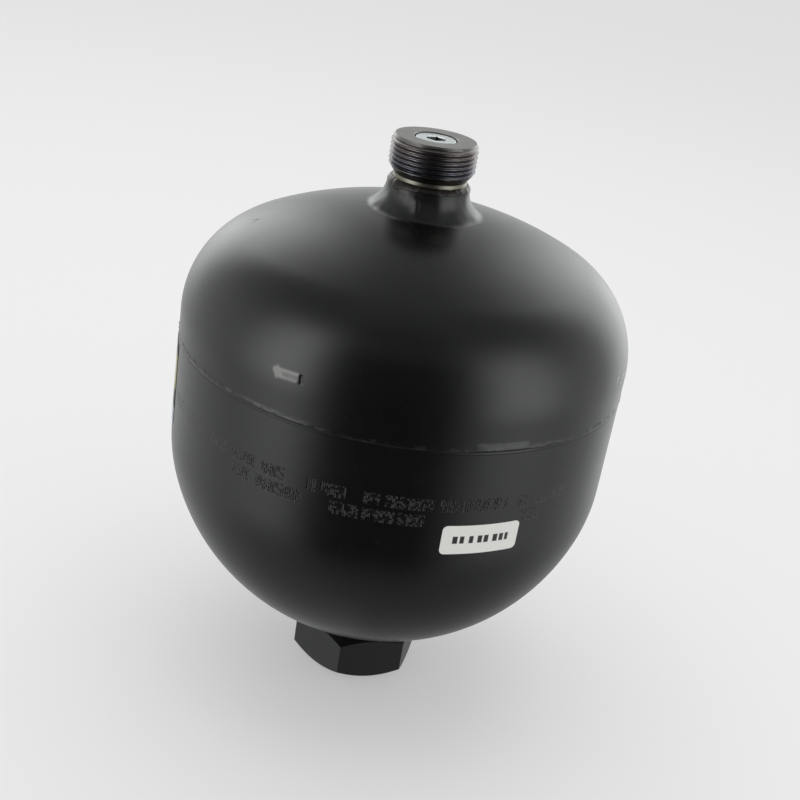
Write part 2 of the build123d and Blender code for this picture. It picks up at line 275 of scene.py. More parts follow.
slope = (neck_base_radius + 3 * MM, upper.height(neck_base_radius + 3 * MM))
collar_top = (neck_radius, neck_top)
neck = rounded(slope, foot, waist, foot_fillet)
neck += line(neck[-1], rounded(foot, waist, collar_top, waist_fillet)[0], 4)[1:]
neck += rounded(foot, waist, collar_top, waist_fillet)
dome_points = [p for p in upper.points(neck_base_radius, step=2) if p[0] > neck[0][0]]
upper_shell = turned(
    "upper_shell_forging",
    line((body_radius, seam_z + bead_half), (body_radius, upper_base), 4)
    + dome_points
    + neck
    + line(neck[-1], collar_top, 3)[1:]
    + [collar_top, (passage_radius, neck_top)]
    + inner_upper.points(passage_radius)[::-1]
    + [(body_radius - wall, seam_z + rim_bore_above), (rim_bore_radius, seam_z + rim_bore_above)]
    + [(rim_bore_radius, seam_z + bead_root_half)],
    steps=288,
)

# %% [markdown]
# ## The rough neck
# The neck is the one rough part of the skin: forging left it slightly uneven, and a fold of metal that
# the weld pushed out runs down it in front. A sculpting brush could draw both by hand. Here every
# corner of the neck moves out by an amount that is worked out, so it is the same each time.

# %% Move corners out from the axis


def bearing_of(corner):
    """Degrees round the axis from the front, positive towards +X."""
    return degrees(atan2(corner.co.x, -corner.co.y))


def reach_of(corner):
    return hypot(corner.co.x, corner.co.y)


def reach_to(corner, reach):
    """Moves a corner straight in or out, to a distance from the axis."""
    scale = reach / reach_of(corner)
    corner.co.x *= scale
    corner.co.y *= scale


def push(corner, amount):
    reach_to(corner, reach_of(corner) + amount)


def bell(value, width):
    """1 where value is 0, and less on both sides of it."""
    return exp(-((value / width) ** 2))


# %% Fold and roughen the neck
neck_foot = neck[0][0]
neck_roughness = 0.27 * MM
neck_grain = 4 * MM
fold = [(-41, -0.5), (-27, -0.8), (-17, -1.4), (-12, -2.4), (-9.5, -4.0)]
fold_start, fold_growth = 0.3, 0.08
steep_side, soft_side = 0.8, 1.6


def on_neck(bearing, height):
    """A place on the neck laid out flat, in mm across and mm from its top."""
    return Vector((radians(bearing) * neck_radius / MM, height))


def fold_height(corner):
    """The fold's ridge, steep above and to the right of its line, and soft below and to the left."""
    here = on_neck(bearing_of(corner), (corner.co.z - neck_top) / MM)
    best = 0
    for part, (start, end) in enumerate(zip(fold, fold[1:])):
        a, b = on_neck(*start), on_neck(*end)
        along = intersect_point_line(here, a, b)[1]
        near = a.lerp(b, min(max(along, 0), 1))
        steep = (b - a).cross(here - a) > 0
        ridge = fold_start + fold_growth * part
        best = max(best, ridge * bell((here - near).length, steep_side if steep else soft_side))
    return best * MM


moved = 0
for corner in upper_shell.data.vertices:
    reach = reach_of(corner)
    if corner.co.z > upper.height(neck_foot) - 0.01 * MM and neck_radius - 0.1 * MM < reach < neck_foot + MM:
        fade = min(1, (neck_foot + MM - reach) / (2 * MM))
        push(corner, neck_roughness * fade * noise.noise(corner.co / neck_grain))
        push(corner, fold_height(corner))
        moved += 1
print("neck:", moved, "corners moved")

# %% [markdown]
# ## The weld round the middle
# The bead was ground nearly flush. What stands out is a thin line along the joint, broken here and
# there into short ticks, and the flat patch in front where the end of the run laps over its start.
# A bevelled curve would give a bead that is too even. This one is spun with fine steps, and a height
# is then worked out for every corner of its skin.

# %% Spin the bead
arch_steps = 20
bead_arch = [(body_radius, seam_z + bead_half * cos(pi * i / arch_steps)) for i in range(arch_steps + 1)]
bead = turned(
    "equator_bead",
    bead_arch + [(rim_bore_radius, seam_z - bead_root_half), (rim_bore_radius, seam_z + bead_root_half)],
    steps=720,
)

# %% Grind the bead
lap_start, lap_end, lap_height = 19, 34.5, 2.9 * MM
line_width = 0.3 * MM
tick_height, tick_width = 0.5 * MM, 0.28 * MM
sunk_edge, sunk_skin = 0.06 * MM, 0.015 * MM


def smooth_step(value, low, high):
    part = min(max((value - low) / (high - low), 0), 1)
    return part * part * (3 - 2 * part)


for corner in bead.data.vertices:
    if reach_of(corner) < body_radius - 0.02 * MM:
        continue
    angle = bearing_of(corner)
    above = corner.co.z - seam_z
    spot = Vector((corner.co.x, corner.co.y, 0)) / MM
    ragged = noise.noise(spot / 2.2)
    ticks = max(0, noise.noise(spot / 3.5 + Vector((0, 0, 7)))) * (0.5 + smooth_step(abs(angle - 8), 22, 38))
    line_rise = bell(above, line_width) * (0.62 + 0.5 * ragged) * bead_height
    tick_rise = bell(above - tick_height, tick_width) * ticks * 1.7 * bead_height
    lap = smooth_step(angle, lap_start, lap_start + 4) * (1 - smooth_step(angle, lap_end - 2, lap_end))
    if above > 0:
        above *= 1 + lap * (lap_height / bead_half - 1)
        corner.co.z = seam_z + above
    slope_down = max(0, 1 - above / lap_height) if above > 0 else 1 - smooth_step(-above, 0, 0.2 * MM)
    flat = lap * slope_down * (0.95 + 0.2 * ragged) * bead_height
    sunk = sunk_edge if abs(above) > bead_half * 0.98 else sunk_skin
    push(corner, min(max(line_rise, tick_rise, flat) - sunk, 0.92 * bead_height))
print(f"lap: {lap_end - lap_start} degrees long, {lap_height / MM:.1f} mm high")

# %% [markdown]
# ## The gas stub and its thread
# The stub is turned from bar: a chamfered end, a fine outside thread, a run-out, an undercut, and a
# hollow flare down to its weld. Only a blank is spun first, as on the lathe. Its rings are close where
# the thread comes, so that there are corners to cut it in.

# %% Turn the blank
lead_in = 1.04 * MM
lead_depth = lead_in / tan(radians(31.5))
thread_end = port_top - 9.1 * MM
undercut_radius = 11.8 * MM
undercut_top = thread_end - 3 * MM
counterbore_radius = 6.9 * MM
counterbore_floor = bottom("charging_screw_seal")
bore_edge = 0.2 * MM
screw_hole_radius = 4.05 * MM
ring_gap = 0.06 * MM

flare_radius = 12.3 * MM
flare_edge = 0.15 * MM
flare_low = stub_base + flare_edge
flare_steps = 12
flare = []
for i in range(flare_steps):
    hollow = (flare_radius - undercut_radius) * sin(pi / 2 * i / flare_steps)
    flare.append((flare_radius - hollow, flare_low + (undercut_top - flare_low) * i / flare_steps))
threaded_rings = round((port_top - lead_depth - thread_end) / ring_gap)
stub = turned(
    "gas_stub",
    [(screw_hole_radius, stub_base), (flare_radius - flare_edge, stub_base)]
    + flare
    + line((undercut_radius, undercut_top), (thread_radius, thread_end), 40)[1:]
    + line((thread_radius, thread_end), (thread_radius, port_top - lead_depth), threaded_rings)
    + line((thread_radius, port_top - lead_depth), (thread_radius - lead_in, port_top), 20)
    + [(thread_radius - lead_in, port_top), (counterbore_radius + bore_edge, port_top)]
    + [(counterbore_radius, port_top - bore_edge), (counterbore_radius, counterbore_floor)]
    + [(screw_hole_radius, counterbore_floor)],
    steps=192,
)

# %% [markdown]
# ## The thread
# The thread is fine, 1.5 mm from crest to crest. A tooth could be swept along a helix and taken away,
# but a Boolean on so many close turns is slow and fragile. Each corner of the blank's skin is moved in
# instead, to the depth of the groove at its own angle and height, which is what a lathe tool does.

# %% Cut the thread
pitch = 1.5 * MM
groove_depth = 0.613 * pitch


def groove(height, angle):
    """Depth of a 60 degree groove, rounded at its root, in a right-handed thread."""
    phase = (height / pitch - angle / (2 * pi)) % 1
    from_crest = abs(phase - 0.5) * pitch
    depth = (from_crest - pitch / 16) / tan(radians(30))
    return min(max(depth, 0), groove_depth)


for corner in stub.data.vertices:
    reach = reach_of(corner)
    if corner.co.z > undercut_top + 0.3 * MM and reach > thread_radius - 2.6 * MM:
        reach_to(corner, min(reach, thread_radius - groove(corner.co.z, atan2(corner.co.y, corner.co.x))))
smooth(stub, 25)
print(f"thread: {(port_top - thread_end) / pitch:.1f} turns of {pitch / MM:.1f} mm")

# %% [markdown]
# ## The lip of the stub's weld
# Welding the stub on pressed out an uneven ring. A torus would do if it were even. It is spun as a
# rounded bead that laps the foot of the flare, and noise then lifts and drops it, so that no stretch
# is like the next. At the left it curls down in a tongue.

# %% Spin the lip
lip_low = neck_top + 0.1 * MM
lip_high = stub_base + 0.75 * MM
lip_middle = (lip_low + lip_high) / 2
lip_bulge = radius_of("gas_port_weld") - neck_radius + 0.35 * MM
lip_inner = flare_radius - 0.25 * MM
lip_steps = 20
lip_arch = []
for i in range(lip_steps + 1):
    turn = pi * i / lip_steps
    base_radius = lip_inner + (neck_radius - lip_inner) * (1 - cos(turn)) / 2
    lip_arch.append((base_radius + lip_bulge * sin(turn), lip_middle + (lip_high - lip_middle) * cos(turn)))
lip = turned("stub_weld_lip", lip_arch + [(passage_radius, lip_low), (passage_radius, lip_high)], steps=240)

# %% Make the lip uneven
tongue_bearing, tongue_width, tongue_drop = -48, 16, 0.9 * MM
lip_grain = 3 * MM
for corner in lip.data.vertices:
    if reach_of(corner) > lip_inner + 0.1 * MM:
        spot = Vector((corner.co.x, corner.co.y, 0)) / lip_grain
        push(corner, (noise.noise(spot) * 0.5 - 0.15) * MM * 0.5)
        tongue = bell(bearing_of(corner) - tongue_bearing, tongue_width)
        lower_half = min(1, max(0, (lip_high - corner.co.z) / (lip_high - lip_low)))
        corner.co.z += noise.noise(spot * 1.7) * 0.22 * MM - tongue_drop * tongue * lower_half
        push(corner, 0.18 * MM * tongue)
lowest = min(corner.co.z for corner in lip.data.vertices)
print(f"the lip hangs to {(neck_top - lowest) / MM:.2f} mm below the top of the neck")

# %% [markdown]
# ## The charging screw
# A plated screw with a low round head and a hexagon socket fills the counterbore. The head and shank
# are spun as one section. The socket is a six-sided cutter, taken away with a Boolean modifier.

# %% Cut one piece with another


def boolean(piece, cutter, operation):
    """Cuts or trims a piece with another, which is used up."""
    alone(piece)
    modifier = piece.modifiers.new("cut", "BOOLEAN")
    modifier.operation = operation
    modifier.solver = "EXACT"
    modifier.object = cutter
    bpy.ops.object.modifier_apply(modifier=modifier.name)
    bpy.data.objects.remove(cutter)


def prism(name, flats, low, high, turn=0):
    """A hexagonal bar between two heights. turn puts a corner that many degrees from +X."""
    bpy.ops.object.select_all(action="DESELECT")
    bpy.ops.mesh.primitive_cylinder_add(
        vertices=6,
        radius=flats / 2 / cos(pi / 6),
        depth=high - low,
        location=(0, 0, (high + low) / 2),
        rotation=(0, 0, radians(turn) - pi / 2),
    )
    bar = bpy.context.object
    bar.name = bar.data.name = name
    bpy.ops.object.transform_apply(location=True, rotation=True, scale=True)
    return bar


# %% Turn the screw and cut its socket
head_radius = radius_of("charging_screw")
head_top = top("charging_screw")
head_low = top("charging_screw_seal")
head_edge = 0.4 * MM
screw_tip = bottom("charging_screw")
shank_radius = 4 * MM
socket_flats = 6 * MM
socket_depth = 3 * MM

screw = turned(
    "charging_screw_plated",
    [(0, head_top), (head_radius - head_edge, head_top)]
    + arc((head_radius - head_edge, head_top - head_edge), head_edge, 90, 0, 18)
    + [(head_radius, head_low), (shank_radius, head_low)]
    + [(shank_radius, screw_tip + MM), (shank_radius - MM, screw_tip), (0, screw_tip)],
    steps=96,
)
socket_cutter = prism("socket_cutter", socket_flats, head_top - socket_depth, head_top + MM, 30)
boolean(screw, socket_cutter, "DIFFERENCE")
alone(screw)
edge = screw.modifiers.new("edge", "BEVEL")
edge.width = 0.12 * MM
edge.segments = 2
edge.limit_method = "ANGLE"
edge.angle_limit = radians(40)
bpy.ops.object.modifier_apply(modifier=edge.name)
smooth(screw)

# %% [markdown]
# ## The fluid port
# A length of hexagon bar, chamfered at both ends on the lathe, with a round shank above. The bar is a
# six-sided prism trimmed by a spun blank, which leaves the curved ridges where the chamfers meet the
# flats. Chamfers by the bevel tool would run straight along each flat, which a lathe never leaves.

# %% Shape the hexagon
hex_flats = 41 * MM
hex_height = 18 * MM
hex_turn = 18.9
hex_corner = hex_flats / 2 / cos(pi / 6)
lower_face = 17.8 * MM
upper_face = 19 * MM
shank_outer = 18.5 * MM
shoulder_z = lower.height(spigot_radius)
low_angle, high_angle = radians(35), radians(30)
low_chamfer = (hex_corner - lower_face) * tan(low_angle)
high_chamfer = (hex_corner - upper_face) * tan(high_angle)

blank = turned(
    "hexagon_blank",
    [(0, 0), (lower_face, 0), (hex_corner, low_chamfer)]
    + [(hex_corner + MM, low_chamfer + MM * tan(low_angle))]
    + [(hex_corner + MM, hex_height - high_chamfer - MM * tan(high_angle))]
    + [(hex_corner, hex_height - high_chamfer), (upper_face, hex_height)]
    + [(shank_outer, hex_height), (shank_outer, shoulder_z), (spigot_radius, shoulder_z)]
    + [(spigot_radius, spigot_top), (0, spigot_top)],
    steps=180,
)
port = prism("fluid_port_hexagon", hex_flats, -MM, spigot_top + MM, hex_turn)
boolean(port, blank, "INTERSECT")

# %% [markdown]
# ## The port's threaded socket
# A fitting screws in from below, into a wide socket that narrows to the oilway. It is made by a drill
# and then a tap. Here one spun tool has the shape of all that they take away, with the thread
# standing out of its skin, so a single Boolean leaves the hollow.

# %% Hollow it with a threaded tool
bore_radius = 12.06 * MM
bore_depth = 16 * MM
oilway_radius = 7 * MM
drill_end = bore_depth + (bore_radius - oilway_radius) / tan(radians(59))
mouth = 1.44 * MM
port_pitch = 1.814 * MM
port_groove = 1.16 * MM
thread_stop = bore_depth - 2 * MM

tool = turned(
    "port_tool",
    [(0, -MM), (bore_radius + mouth + MM, -MM), (bore_radius + mouth, 0)]
    + line((bore_radius + mouth, 0), (bore_radius, mouth), 6)[1:]
    + line((bore_radius, mouth), (bore_radius, thread_stop), 80)
    + [(bore_radius, thread_stop), (bore_radius, bore_depth), (oilway_radius, drill_end)]
    + [(oilway_radius, spigot_top + MM), (0, spigot_top + MM)],
    steps=96,
)
last_ring = thread_stop - 0.1 * MM
for corner in tool.data.vertices:
    reach = reach_of(corner)
    if 0.2 * MM < corner.co.z < last_ring and bore_radius - 0.1 * MM < reach:
        phase = (corner.co.z / port_pitch - atan2(corner.co.y, corner.co.x) / (2 * pi)) % 1
        crest = port_groove * max(0, 1 - abs(phase - 0.5) * 2.2)
        fade = min(1, (last_ring - corner.co.z) / port_pitch)
        reach_to(corner, max(reach, bore_radius + crest * fade))
boolean(port, tool, "DIFFERENCE")
smooth(port, 25)
print(f"port: {len(port.data.polygons)} faces after hollowing")

# %% [markdown]
# ## The weld under the shell
# A fillet weld fills the corner between the port's shank and the shell, with a slightly hollow face.
# Its section is a triangle whose long side follows the shell, so spinning it closes the corner tight.

# %% Spin the fillet
weld_leg = 3 * MM
weld_foot = shank_outer + weld_leg
heel = (shank_outer, shoulder_z - weld_leg / 2)
toe = (weld_foot, lower.height(weld_foot))
sag = 0.25 * MM
face = [
    (a + sag * sin(pi * i / 6) * -0.4, b + sag * sin(pi * i / 6))
    for i, (a, b) in enumerate(line(heel, toe, 6))
]
shell_side = [weld_foot - (weld_foot - spigot_radius) * i / 6 for i in range(7)]
shell_side = [(radius, lower.height(radius)) for radius in shell_side]
port_weld = turned("port_fillet_weld", face + shell_side + [(shank_outer, shoulder_z)], steps=192)

# %% [markdown]
# ## The diaphragm
# A moulded rubber cup lines the lower shell. It has a thick rim, trapped under the clamp ring, and a
# boss that holds the closing button. Cloth could be draped here, but the rubber is moulded to a
# drawing, so it is spun like the rest. In use it folds up as oil comes in.

# %% Spin the diaphragm
rubber_wall = 3 * MM
skin = inner_lower.inside(0.4 * MM)
lining = skin.inside(rubber_wall)
rim_outer = rim_bore_radius - 0.2 * MM
rim_inner = rim_outer - 5 * MM
rim_top = ledge_z + 7 * MM
button_radius = radius_of("closing_button")
rubber_gap = 0.3 * MM
recess_radius = button_radius + rubber_gap
boss_radius = recess_radius + 5 * MM
button_lift, button_head = 0.3 * MM, 3 * MM
boss_low = inner_lower.height(0) + button_lift + button_head + rubber_gap
boss_top = boss_low + rubber_wall
stem_hole = 3.5 * MM + rubber_gap
diaphragm = turned(
    "diaphragm_cup",
    skin.points(recess_radius)
    + [(recess_radius, boss_low), (stem_hole, boss_low), (stem_hole, boss_top), (boss_radius, boss_top)]
    + lining.points(boss_radius)[::-1]
    + [(lining.radius, ledge_z - 1.5 * MM), (rim_inner, ledge_z), (rim_inner, rim_top - MM)]
    + arc((rim_inner + MM, rim_top - MM), MM, 180, 90, 30)
    + arc((rim_outer - MM, rim_top - MM), MM, 90, 0, 30)
    + [(rim_outer, ledge_z), (skin.radius, ledge_z)],
    steps=144,
)
travel = next(j["range_m"][1] for j in frame["joints"] if j["name"] == "button_slide")
rubber_kept = 1 - travel / (rim_top - boss_low)
print(f"button travel {travel / MM:.0f} mm, the cup keeps {rubber_kept:.3f} of its height")

# %% [markdown]
# ## The labels
# A label is printed film. Shrinkwrap could press one on, but its edges would slide about. So a flat
# grid gets rounded corners, and each of its points is laid on the skin straight in from where it
# hangs. Solidify gives the film its body.

# %% Lay a label on the shell
film_thickness = 0.15 * MM
film_glue = 0.05 * MM


def film(name, size, corner, middle, angle, cuts):
    """A round-cornered label that follows the lower shell. angle is from the front towards +X."""
    bpy.ops.object.select_all(action="DESELECT")
    bpy.ops.mesh.primitive_grid_add(x_subdivisions=cuts[0], y_subdivisions=cuts[1], size=1)
    sticker = bpy.context.object
    sticker.name = sticker.data.name = name
    along = Vector((cos(radians(angle)), sin(radians(angle)), 0))
    out = Vector((along.y, -along.x, 0))
    for point in sticker.data.vertices:
        u, v = point.co.x * size[0], point.co.y * size[1]
        past_u, past_v = abs(u) - size[0] / 2 + corner, abs(v) - size[1] / 2 + corner
        if past_u > 0 and past_v > 0:
            pull = max(past_u, past_v) / hypot(past_u, past_v)
            u -= (past_u - past_u * pull) * (1 if u > 0 else -1)
            v -= (past_v - past_v * pull) * (1 if v > 0 else -1)
        reach = lower.radius_at(middle + v) + film_glue
        point.co = along * u + out * sqrt(reach**2 - u**2) + Vector((0, 0, middle + v))
    alone(sticker)
    body = sticker.modifiers.new("film", "SOLIDIFY")
    body.thickness = film_thickness
    body.offset = 1
    bpy.ops.object.modifier_apply(modifier=body.name)
    smooth(sticker, 60)
    print(f"{name}: {size[0] / MM:.1f} by {size[1] / MM:.1f} mm at {angle} degrees")
    return sticker


# %% Lay both labels
pressure_size = (25.6 * MM, 9.8 * MM)
pressure_middle = seam_z - 29.8 * MM
pressure_angle = 25.7
pressure_label = film(
    "pressure_label_film", pressure_size, 1.6 * MM, pressure_middle, pressure_angle, (80, 32)
)
side_size = (48 * MM, 29 * MM)
side_middle = seam_z - 17.7 * MM
side_angle = -91.5
side_label = film("side_label_film", side_size, 1 * MM, side_middle, side_angle, (96, 60))

# %% [markdown]
# ## Finishes in nodes
# Every finish is worked out from an object's own coordinates, so it needs no image file and holds
# from any side. Long node trees are hard to read, so two small classes write them as sums: a
# Signal is an output that knows plus and times, and a Finish adds every node through one method.

# %% Write shader maths as expressions


class Signal:
    """An output in a node tree. Arithmetic on it adds Math nodes."""

    def __init__(self, finish, socket):
        self.finish, self.socket = finish, socket

    def __add__(self, other):
        return self.finish.maths("ADD", self, other)

    def __sub__(self, other):
        return self.finish.maths("SUBTRACT", self, other)

    def __rsub__(self, other):
        return self.finish.maths("SUBTRACT", other, self)

    def __mul__(self, other):
        return self.finish.maths("MULTIPLY", self, other)

    __radd__ = __add__
    __rmul__ = __mul__


# %% Add nodes through one method


class Finish:
    """A node tree, and the one method that adds a node to it."""

    def __init__(self, tree):
        self.tree = tree

    def node(self, kind, settings=None, inputs=None, output=0):
        made = self.tree.nodes.new(kind)
        for name, value in (settings or {}).items():
            if name == "stops":
                ramp = made.color_ramp
                while len(ramp.elements) < len(value):
                    ramp.elements.new(0.5)
                for element, (place, colour) in zip(ramp.elements, value):
                    element.position = place
                    element.color = (*colour, 1)
            else:
                setattr(made, name, value)
        for name, value in (inputs or {}).items():
            self.feed(made.inputs[name], value)
        return Signal(self, made.outputs[output])

    def feed(self, socket, value):
        if isinstance(value, Signal):
            self.tree.links.new(value.socket, socket)
        else:
            socket.default_value = value

    def maths(self, operation, *values):
        return self.node("ShaderNodeMath", {"operation": operation}, dict(enumerate(values)))

    def place(self):
        return self.node("ShaderNodeTexCoord", output="Object")

    def axes(self, vector):
        split = self.node("ShaderNodeSeparateXYZ", None, {0: vector})
        return [Signal(self, output) for output in split.socket.node.outputs]

    def noise(self, vector, scale, detail=2, roughness=0.5):
        inputs = {"Vector": vector, "Scale": scale, "Detail": detail, "Roughness": roughness}
        return self.node("ShaderNodeTexNoise", None, inputs)

    def step(self, value, low, high, start=0, end=1):
        """Rises smoothly from start to end as value goes from low to high."""
        inputs = {"Value": value, "From Min": low, "From Max": high, "To Min": start, "To Max": end}
        return self.node("ShaderNodeMapRange", {"interpolation_type": "SMOOTHSTEP"}, inputs)

    def band(self, value, low, high, soft):
        """1 between low and high, 0 outside, over soft edges."""
        return self.step(value, low - soft, low + soft) * self.step(value, high - soft, high + soft, 1, 0)

    def mix(self, factor, first, second):
        return self.node("ShaderNodeMix", {"data_type": "RGBA"}, {0: factor, 6: first, 7: second}, 2)

    def bump(self, height, distance):
        return self.node("ShaderNodeBump", None, {"Height": height, "Distance": distance, "Strength": 1})

    def coat(self, tone, roughness, relief, distance, metallic=0.0):
        """Feeds the main shader. relief is a height between 0 and 1, and distance is what 1 means."""
        self.feed(self.shader["Base Color"], tone)
        self.feed(self.shader["Metallic"], metallic)
        self.feed(self.shader["Roughness"], roughness)
        self.feed(self.shader["Normal"], self.bump(relief, distance))
        print(f"{self.material.name}: {len(self.tree.nodes)} nodes")


# %% Start a material


def colour(red, green, blue):
    return (red, green, blue, 1)


def grey(level):
    return colour(level, level, level)


def material(name):
    """A new material's finish, with its main shader ready to be fed."""
    made = bpy.data.materials.new(name)
    made.use_nodes = True
    finish = Finish(made.node_tree)
    finish.material = made
    finish.shader = made.node_tree.nodes["Principled BSDF"].inputs
    return finish


# %% [markdown]
# ## Black paint
# One coat of semi-gloss black over forged steel. Up close it has the orange peel of sprayed paint, a
# slow unevenness under it from the forging, and a little dust. All three are faint: what makes the
# paint look right is how it spreads the light, so most of the care goes into roughness. The function
# only gathers tone, sheen and relief, so that marks can be added to them before spray() is called.

# %% Mix the paint


def painted(name, peel=1.0, waves=1.0, roughness=0.21):
    paint = material(name)
    place = paint.place()
    slow = paint.noise(place, 28, 2)
    patch = paint.noise(place, 140, 4, 0.6)
    grain = paint.noise(place, 1400, 2)
    dust = paint.step(paint.noise(place, 900, 2), 0.70, 0.78)
    base = paint.mix(patch, colour(0.0016, 0.0017, 0.0018), colour(0.0030, 0.0032, 0.0033))
    paint.tone = paint.mix(dust * 0.06, base, colour(0.10, 0.10, 0.095))
    paint.sheen = roughness + slow * 0.06 + patch * 0.05 + dust * 0.05
    paint.relief = slow * (0.5 * waves) + patch * (0.05 * waves) + grain * (0.012 * peel)
    return paint


def spray(paint):
    paint.coat(paint.tone, paint.sheen, paint.relief, 0.25 * MM)


shell_paint = painted("black_shell_paint")
port_paint = painted("black_port_paint", peel=2.5, waves=0.3, roughness=0.42)
spray(port_paint)

# %% [markdown]
# ## The punched rows
# Two rows were punched into the shell by a marking pin and painted over. Real dents would need a very
# fine mesh, so they are relief in the paint: plain dots, in word-long groups that spell nothing. The
# bearing round the axis is cut into columns and the height into cells, and white noise leaves cells out.
# The dots' slightly paler tone is painted reflection, for the light their tilted sides would catch.

# %% Punch the rows
x, y, z = shell_paint.axes(shell_paint.place())
bearing_degrees = shell_paint.maths("ARCTAN2", x, 0 - y) * degrees(1)
dot_pitch = 0.72 * MM
dot_height = 0.62 * MM
column = bearing_degrees * (radians(1) * body_radius / dot_pitch)
column_number = shell_paint.maths("FLOOR", column)
from_dot = shell_paint.maths("ABSOLUTE", column - column_number - 0.5)


def punched(middle, words):
    """One row of dots. Each word is a pair of bearings."""
    above = z - (middle - 2 * MM)
    height = shell_paint.band(above, 0, 4 * MM, 0.3 * MM)
    cell = shell_paint.maths("FLOOR", above * (1 / dot_height))
    seed = {"W": column_number + cell * 0.137}
    chance = shell_paint.node("ShaderNodeTexWhiteNoise", {"noise_dimensions": "1D"}, seed)
    written = 0.0
    for start, end in words:
        written = shell_paint.band(bearing_degrees, start, end, 0.3) + written
    dots = shell_paint.step(from_dot, 0.05, 0.55, 1, 0) * shell_paint.step(chance, 0.25, 0.9)
    return height * written * dots


upper_words = [(-70, -61), (-58, -49), (-46, -39.5), (-37.5, -30.4), (-28.3, -22.1), (-16.4, -14.4)]
upper_words += [(-13, -7.3), (-3.1, 0.4), (1.9, 12.8), (14.5, 19), (19.9, 30.6), (33.4, 36.3)]
upper_words += [(39.2, 42.9), (44.7, 50)]
lower_words = [(-36.9, -31.7), (-29.6, -17.6), (-10.6, -3.9), (-3, 4.3), (5.2, 11.4), (35, 41.5)]
rows = punched(seam_z - 18.2 * MM, upper_words) + punched(seam_z - 23.6 * MM, lower_words)
aside = shell_paint.maths("ABSOLUTE", bearing_degrees)
rows = rows * shell_paint.step(aside, 30, 52, 1, 0.4)
print(len(upper_words) + len(lower_words), "words punched")

# %% [markdown]
# ## Knocks and wear
# The shell has a scuffed dent, a few scratches down to bare metal and two dull smudges. A painted map
# could hold them, but needs a file of its own. Here each is a band along a line from one place on the
# skin to another. The lap and the ticks of the weld are paler, where the grinder left them rough.
# The dent's pale tone, on its left wall and along its rims, is a painted highlight.

# %% Knock and scratch the shell


def mark(start, end, width, soft=0.15):
    """A straight mark between two points, each a bearing in degrees and a height in mm."""
    across_mm = radians(1) * body_radius / MM
    run, climb = (end[0] - start[0]) * across_mm, end[1] - start[1]
    length = hypot(run, climb)
    east, north = (bearing_degrees - start[0]) * across_mm, z * (1 / MM) - start[1]
    along = east * (run / length) + north * (climb / length)
    side = north * (run / length) - east * (climb / length)
    return shell_paint.band(along, 0, length, soft) * shell_paint.band(side, -width / 2, width / 2, soft)


flecks = shell_paint.noise(shell_paint.place(), 700, 3)
# The dent's shape is relief (burr, shade). Its pale tone on the left wall and the two rim lines is a painted
# highlight.
scuff_and_painted_glint = mark((-28.1, 139.5), (-26.7, 136.9), 2.3, 0.6)
scuff_rim_highlights = mark((-27.0, 139.2), (-22.0, 139.4), 0.9, 0.4) + mark((-26.6, 137.0), (-22.2, 137.2), 0.9, 0.4)
scuff_and_painted_glint = scuff_and_painted_glint + scuff_rim_highlights * 0.6 + mark((-26.8, 138.2), (-22.0, 138.4), 2.2, 0.5) * 0.5
scuff_and_painted_glint = shell_paint.maths("MINIMUM", scuff_and_painted_glint, 1) * (0.75 + 0.6 * flecks)
burr = mark((-25.6, 138.2), (-21.4, 138.3), 2.6, 0.5)
shade = mark((-21.3, 139.5), (-20.9, 137.0), 1.1, 0.35)
scratches = mark((65.8, 135.5), (68.2, 139.5), 0.5) + mark((70.2, 134.6), (73.6, 137.4), 0.5)
scratches = scratches * shell_paint.step(flecks, 0.36, 0.52)
smudge = mark((-84.0, 162.6), (-80.5, 164.0), 0.4, 0.5) + mark((-82.5, 163.6), (-79.0, 162.9), 0.4, 0.5)

# %% Wear the weld
lap = shell_paint.band(bearing_degrees, lap_start + 1.5, lap_end - 1.2, 0.9)
lap = lap * shell_paint.band(z, seam_z + 0.35 * MM, seam_z + lap_height - 0.3 * MM, 0.3 * MM)
ticks = shell_paint.band(z, seam_z - 0.2 * MM, seam_z + 0.9 * MM, 0.2 * MM)
ticks = ticks * shell_paint.step(shell_paint.noise(shell_paint.place(), 330, 2), 0.5, 0.62)
ticks = ticks * shell_paint.step(aside, 8, 30, 0.45, 1)
seam_wear = lap * (0.35 + 0.75 * flecks) + ticks * 0.6
under_lap = shell_paint.band(bearing_degrees, lap_start - 5, lap_end + 1, 2)
under_lap = under_lap * shell_paint.band(z, seam_z - 0.6 * MM, seam_z - 0.1 * MM, 0.2 * MM)
neck_dullness = shell_paint.step(z, neck_top - 8 * MM, neck_top - 2 * MM, 0, 0.09)

# %% Add the marks and spray the shell
marks = [
    # Painted highlight on the dent's left wall and rims.
    (scuff_and_painted_glint, colour(0.235, 0.235, 0.23)),
    (scratches, colour(0.55, 0.55, 0.54)),
    # Painted reflection: the dots' slightly paler tone stands in for light their tilted sides catch.
    (rows * 0.22, colour(0.013, 0.012, 0.011)),
    (seam_wear, colour(0.05, 0.05, 0.051)),
]
for where, tone in marks:
    shell_paint.tone = shell_paint.mix(where, shell_paint.tone, tone)
roughened = scuff_and_painted_glint * 0.2 + scratches * 0.2 + smudge * 0.1 + rows * 0.12 + lap * 0.1
shell_paint.sheen = shell_paint.sheen + roughened + neck_dullness
dented = burr * 0.3 - under_lap * 0.5 - shade * 0.8 - rows * 0.7 - smudge * 0.08
shell_paint.relief = shell_paint.relief + dented
spray(shell_paint)
